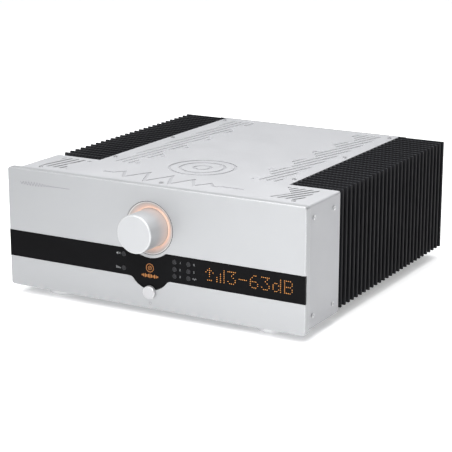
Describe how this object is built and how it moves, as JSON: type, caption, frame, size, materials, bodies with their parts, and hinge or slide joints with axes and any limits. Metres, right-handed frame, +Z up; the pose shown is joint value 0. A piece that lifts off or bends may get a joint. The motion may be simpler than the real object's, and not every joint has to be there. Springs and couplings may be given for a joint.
{
  "type": "integrated power amplifier",
  "caption": "Full-width integrated stereo amplifier with a thick front panel, volume knob in a lit dish, black display band, push buttons, finned side heatsinks and rear sockets.",
  "frame": {"origin": "centre of the bounding box in plan, on the surface the feet stand on", "axes": "+X to the right seen from the front, +Y from the front panel to the rear, +Z up"},
  "size_m": [0.435, 0.505, 0.1705],
  "materials": {
    "panel_aluminium": "fine bead-blasted, clear anodised",
    "window_acrylic": "black, polished",
    "dish_aluminium": "turned",
    "lamp_diffuser": "translucent orange, lit",
    "knob_aluminium": "turned, satin",
    "button_aluminium": "satin",
    "button_plastic": "satin black",
    "steel": "zinc plated",
    "readout": "smoked, lit in parts",
    "guide_acrylic": "frosted, lit",
    "circuit_board": "green solder mask",
    "switch_plastic": "moulded",
    "cover_paint": "light grey, fine texture",
    "chassis_steel": "galvanised sheet",
    "rear_paint": "black, fine texture",
    "black_anodised": "black anodised",
    "foot_aluminium": "turned",
    "rubber": "matt",
    "screw_steel": "nickel plated",
    "winding": "taped winding on a wound steel core",
    "brass_pillar": "hexagonal",
    "capacitor": "black sleeve",
    "epoxy": "moulded",
    "ribbon": "flat cable",
    "gold": "gold plated",
    "insulator": "moulded",
    "socket_metal": "dark nickel",
    "terminal_plastic": "moulded",
    "cap_plastic": "moulded, grips"
  },
  "bodies": {
    "chassis": {"front_panel": "panel_aluminium", "display_window": "window_acrylic", "knob_dish": "dish_aluminium", "lamp_ring": "lamp_diffuser", "encoder_body": "steel", "encoder_nut": "steel", "button_switches": "switch_plastic", "control_board": "circuit_board", "display_board": "circuit_board", "readout_cells": "readout", "emblem_guide": "guide_acrylic", "front_frame": "chassis_steel", "panel_screws": "screw_steel", "top_cover": "cover_paint", "cover_screws": "screw_steel", "cover_rails": "chassis_steel", "base_plate": "chassis_steel", "rear_panel": "rear_paint", "rear_screws": "screw_steel", "left_heatsink": "black_anodised", "right_heatsink": "black_anodised", "feet": "foot_aluminium", "foot_pads": "rubber", "foot_screws": "screw_steel", "transformer": "winding", "transformer_pads": "rubber", "transformer_clamp": "chassis_steel", "transformer_bolt": "steel", "supply_board": "circuit_board", "board_pillars": "brass_pillar", "reservoir_capacitors": "capacitor", "bridge_rectifiers": "epoxy", "amp_boards": "circuit_board", "output_transistors": "epoxy", "input_board": "circuit_board", "ribbon_cable": "ribbon", "phono_shells": "gold", "phono_insulators": "insulator", "balanced_sockets": "socket_metal", "speaker_posts": "gold", "post_insulators": "terminal_plastic", "mains_inlet": "terminal_plastic", "rocker_housing": "terminal_plastic"},
    "knob": {"volume_knob": "knob_aluminium", "encoder_shaft": "steel"},
    "standby": {"standby_button": "button_aluminium"},
    "mute": {"mute_button": "button_plastic"},
    "dim": {"dim_button": "button_plastic"},
    "input_1": {"input_button_1": "button_plastic"},
    "input_2": {"input_button_2": "button_plastic"},
    "input_3": {"input_button_3": "button_plastic"},
    "input_4": {"input_button_4": "button_plastic"},
    "input_5": {"input_button_5": "button_plastic"},
    "input_6": {"input_button_6": "button_plastic"},
    "cap_1": {"post_cap_1": "cap_plastic"},
    "cap_2": {"post_cap_2": "cap_plastic"},
    "cap_3": {"post_cap_3": "cap_plastic"},
    "cap_4": {"post_cap_4": "cap_plastic"},
    "drawer": {"fuse_drawer": "terminal_plastic"},
    "rocker": {"mains_rocker": "terminal_plastic"}
  },
  "joints": [
    {"name": "volume_turn", "type": "hinge", "parent": "chassis", "child": "knob", "pos_m": [0, -0.2275, 0.11635], "axis": [0, 1, 0], "continuous": true},
    {"name": "standby_press", "type": "slide", "parent": "chassis", "child": "standby", "axis": [0, 1, 0], "range_m": [0, 0.0009], "stiffness_N_per_m": 400},
    {"name": "mute_press", "type": "slide", "parent": "chassis", "child": "mute", "axis": [0, 1, 0], "range_m": [0, 0.0006], "stiffness_N_per_m": 400},
    {"name": "dim_press", "type": "slide", "parent": "chassis", "child": "dim", "axis": [0, 1, 0], "range_m": [0, 0.0006], "stiffness_N_per_m": 400},
    {"name": "input_1_press", "type": "slide", "parent": "chassis", "child": "input_1", "axis": [0, 1, 0], "range_m": [0, 0.0006], "stiffness_N_per_m": 400},
    {"name": "input_2_press", "type": "slide", "parent": "chassis", "child": "input_2", "axis": [0, 1, 0], "range_m": [0, 0.0006], "stiffness_N_per_m": 400},
    {"name": "input_3_press", "type": "slide", "parent": "chassis", "child": "input_3", "axis": [0, 1, 0], "range_m": [0, 0.0006], "stiffness_N_per_m": 400},
    {"name": "input_4_press", "type": "slide", "parent": "chassis", "child": "input_4", "axis": [0, 1, 0], "range_m": [0, 0.0006], "stiffness_N_per_m": 400},
    {"name": "input_5_press", "type": "slide", "parent": "chassis", "child": "input_5", "axis": [0, 1, 0], "range_m": [0, 0.0006], "stiffness_N_per_m": 400},
    {"name": "input_6_press", "type": "slide", "parent": "chassis", "child": "input_6", "axis": [0, 1, 0], "range_m": [0, 0.0006], "stiffness_N_per_m": 400},
    {"name": "cap_1_turn", "type": "hinge", "parent": "chassis", "child": "cap_1", "pos_m": [-0.116, 0.2399, 0.06], "axis": [0, 1, 0], "range_deg": [0, 360]},
    {"name": "cap_2_turn", "type": "hinge", "parent": "chassis", "child": "cap_2", "pos_m": [-0.084, 0.2399, 0.06], "axis": [0, 1, 0], "range_deg": [0, 360]},
    {"name": "cap_3_turn", "type": "hinge", "parent": "chassis", "child": "cap_3", "pos_m": [0.084, 0.2399, 0.06], "axis": [0, 1, 0], "range_deg": [0, 360]},
    {"name": "cap_4_turn", "type": "hinge", "parent": "chassis", "child": "cap_4", "pos_m": [0.116, 0.2399, 0.06], "axis": [0, 1, 0], "range_deg": [0, 360]},
    {"name": "fuse_drawer_slide", "type": "slide", "parent": "chassis", "child": "drawer", "axis": [0, 1, 0], "range_m": [0, 0.018]},
    {"name": "mains_rock", "type": "hinge", "parent": "chassis", "child": "rocker", "pos_m": [0.044, 0.2245, 0.052], "axis": [1, 0, 0], "range_deg": [0, 20]}
  ]
}
